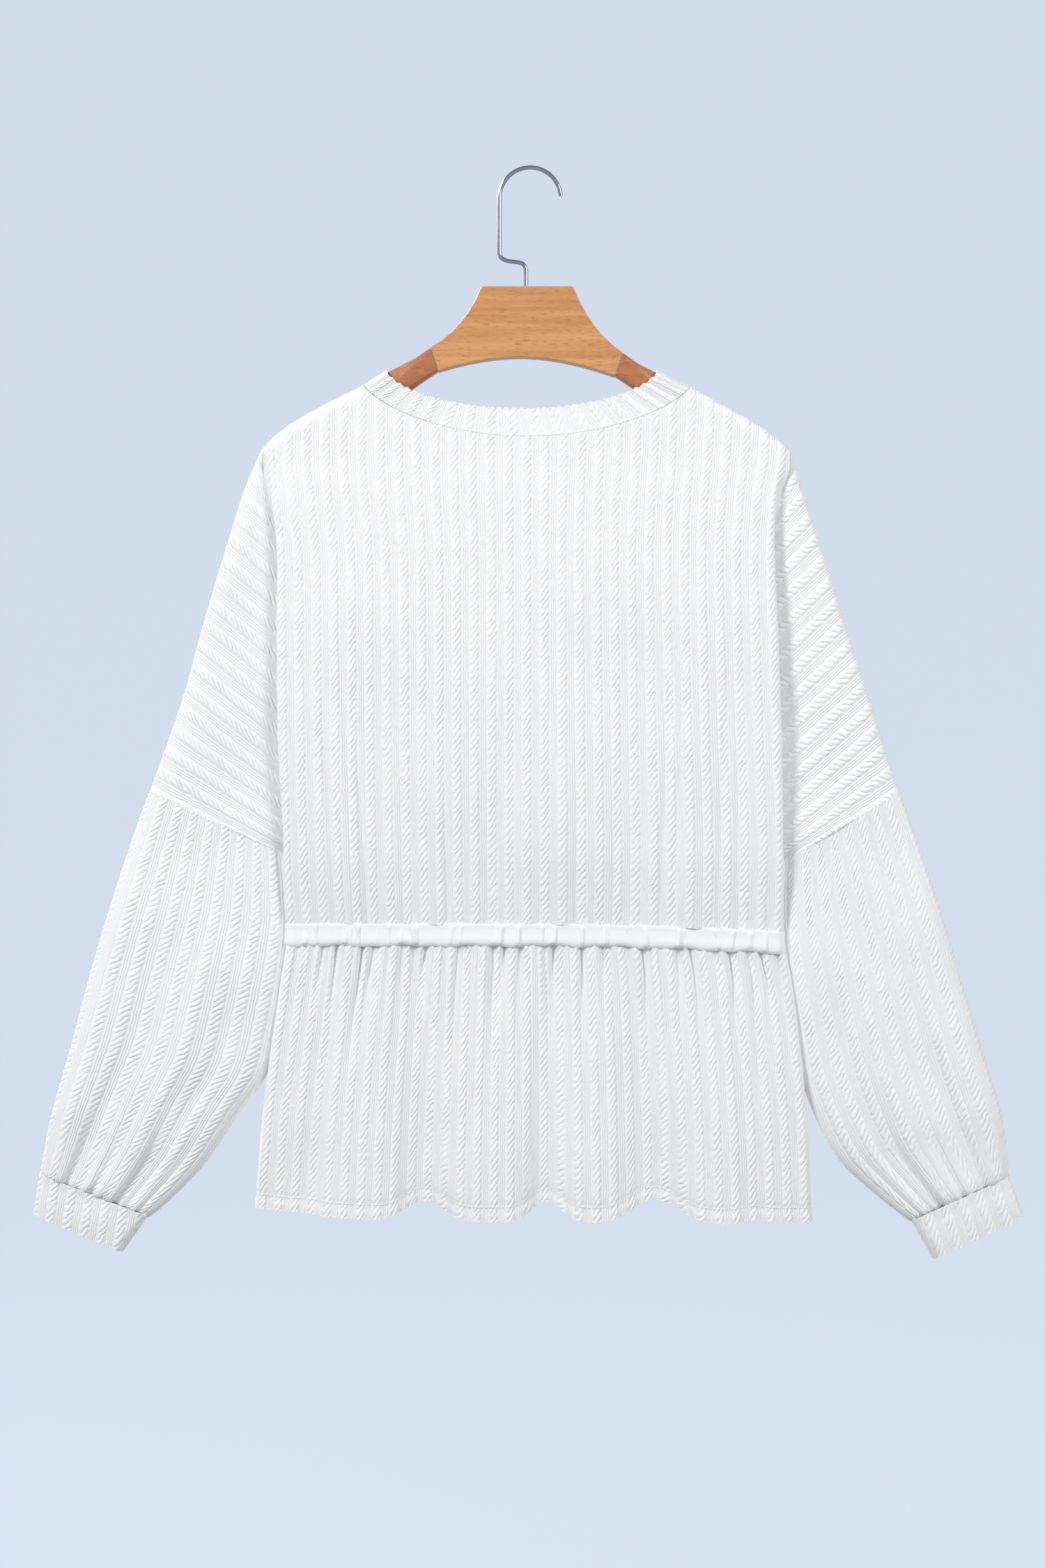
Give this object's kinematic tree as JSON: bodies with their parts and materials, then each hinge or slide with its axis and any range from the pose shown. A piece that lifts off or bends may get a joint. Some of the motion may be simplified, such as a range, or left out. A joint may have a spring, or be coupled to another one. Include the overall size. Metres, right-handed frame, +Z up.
{
  "type": "peplum top on a hanger",
  "caption": "Cable-knit peplum top with long dropped sleeves and gathered cuffs, hanging open-necked on a wooden hanger with a wire hook.",
  "frame": {"origin": "inner top of the hanger's hook, where a rail carries it", "axes": "+Z up, +X across the shoulders to the viewer's right as the back is seen, +Y through the cloth towards the garment's front"},
  "size_m": [0.8149, 0.0528, 0.8993],
  "materials": {
    "knit": "matt cable knit",
    "plain_cloth": "matt plain cloth",
    "centre_wood": "satin",
    "arm_wood": "satin",
    "chrome": "polished"
  },
  "bodies": {
    "root": {"bodice_back": "knit", "bodice_front": "knit", "neckband": "knit", "sleeve_left": "knit", "sleeve_right": "knit", "cuff_left": "knit", "cuff_right": "knit", "waist_casing": "plain_cloth", "peplum_back": "knit", "peplum_front": "knit", "hanger_centre": "centre_wood", "hanger_arm_left": "arm_wood", "hanger_arm_right": "arm_wood", "hanger_hook": "chrome"}
  },
  "joints": []
}
